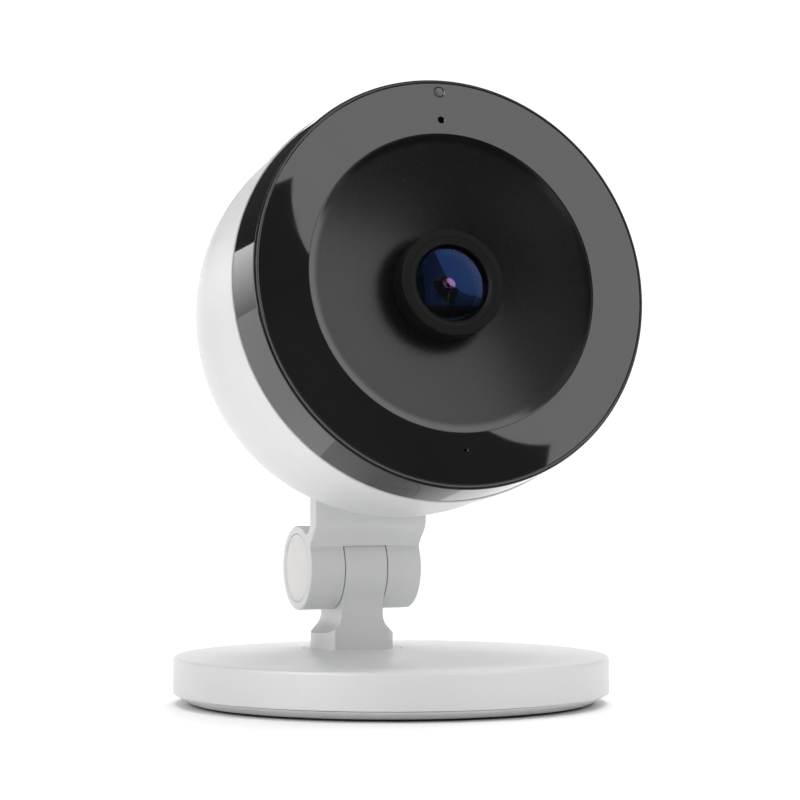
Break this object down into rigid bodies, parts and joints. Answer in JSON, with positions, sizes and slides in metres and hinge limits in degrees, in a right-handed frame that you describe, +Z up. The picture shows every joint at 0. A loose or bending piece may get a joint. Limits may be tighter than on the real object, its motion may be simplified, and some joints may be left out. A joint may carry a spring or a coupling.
{
  "type": "security camera",
  "caption": "Indoor security camera: drum head with a concave lens dish, tilting on a forked neck over a stem that swivels on a round weighted base.",
  "frame": {"origin": "centre of the base's underside, on the table", "axes": "+Z up; the lens faces -Y and leans back 10.9 degrees at rest; +X is to the right for someone standing behind the camera"},
  "size_m": [0.078, 0.078, 0.1093],
  "materials": {
    "white_plastic": "satin moulded plastic",
    "cap_plastic": "satin moulded plastic",
    "band_black": "polished",
    "window_black": "polished, passes infrared",
    "dish_black": "fine satin",
    "barrel_black": "satin",
    "lens_glass": "coated, blue reflection",
    "filter_glass": "polished",
    "rubber_black": "matt",
    "screw_steel": "zinc plated",
    "ballast_iron": "as pressed",
    "spreader_aluminium": "as rolled",
    "spacer_brass": "turned",
    "slip_plastic": "waxy",
    "board_green": "solder mask",
    "chip_black": "moulded",
    "sensor_dark": "polished",
    "lamp_clear": "clear resin",
    "light_clear": "clear resin",
    "pad_blue": "soft",
    "flex_amber": "film",
    "cable_black": "matt",
    "copper": "wound"
  },
  "bodies": {
    "base": {"rubber_pad": "rubber_black", "base_plate": "white_plastic", "base_cover": "white_plastic", "ballast_plate": "ballast_iron", "base_screws": "screw_steel", "swivel_washer": "slip_plastic"},
    "stem": {"stem": "white_plastic", "swivel_retainer": "screw_steel", "swivel_screw": "screw_steel", "hinge_washers": "slip_plastic"},
    "head": {"neck_bracket": "white_plastic", "hinge_bolt": "screw_steel", "hinge_nut": "screw_steel", "left_cap": "cap_plastic", "right_cap": "cap_plastic", "neck_screws": "screw_steel", "rear_shell": "white_plastic", "case_screws": "screw_steel", "screw_plugs": "white_plastic", "bezel_band": "band_black", "front_window": "window_black", "dish": "dish_black", "lens_barrel": "barrel_black", "lens_retainer": "barrel_black", "front_lens": "lens_glass", "rear_lenses": "filter_glass", "lens_holder": "barrel_black", "filter_actuator": "copper", "image_sensor": "sensor_dark", "sensor_board": "board_green", "board_spacers": "spacer_brass", "main_board": "board_green", "processor": "chip_black", "thermal_pad": "pad_blue", "heat_spreader": "spreader_aluminium", "board_screws": "screw_steel", "led_board": "board_green", "ir_lamps": "lamp_clear", "status_led": "lamp_clear", "status_light": "light_clear", "light_sensor": "sensor_dark", "microphone": "screw_steel", "antenna": "flex_amber", "sensor_flex": "flex_amber", "lamp_cable": "cable_black", "inlet_cable": "cable_black", "inlet_board": "board_green", "inlet_screws": "screw_steel", "power_inlet": "screw_steel", "reset_switch": "chip_black"},
    "filter": {"filter_carriage": "barrel_black", "ir_cut_glass": "filter_glass", "clear_glass": "filter_glass"},
    "button": {"reset_button": "cap_plastic"}
  },
  "joints": [
    {"name": "stand_swivel", "type": "hinge", "parent": "base", "child": "stem", "pos_m": [0, 0.0198, 0.0085], "axis": [0, 0, 1], "range_deg": [-165, 165]},
    {"name": "head_tilt", "type": "hinge", "parent": "stem", "child": "head", "pos_m": [0, 0.0198, 0.0234], "axis": [-1, 0, 0], "range_deg": [-28, 45]},
    {"name": "filter_shift", "type": "slide", "parent": "head", "child": "filter", "axis": [1, 0, 0], "range_m": [0, 0.0065]},
    {"name": "reset_press", "type": "slide", "parent": "head", "child": "button", "axis": [0, -0.982, 0.1891], "range_m": [0, 0.0005], "stiffness_N_per_m": 600}
  ]
}
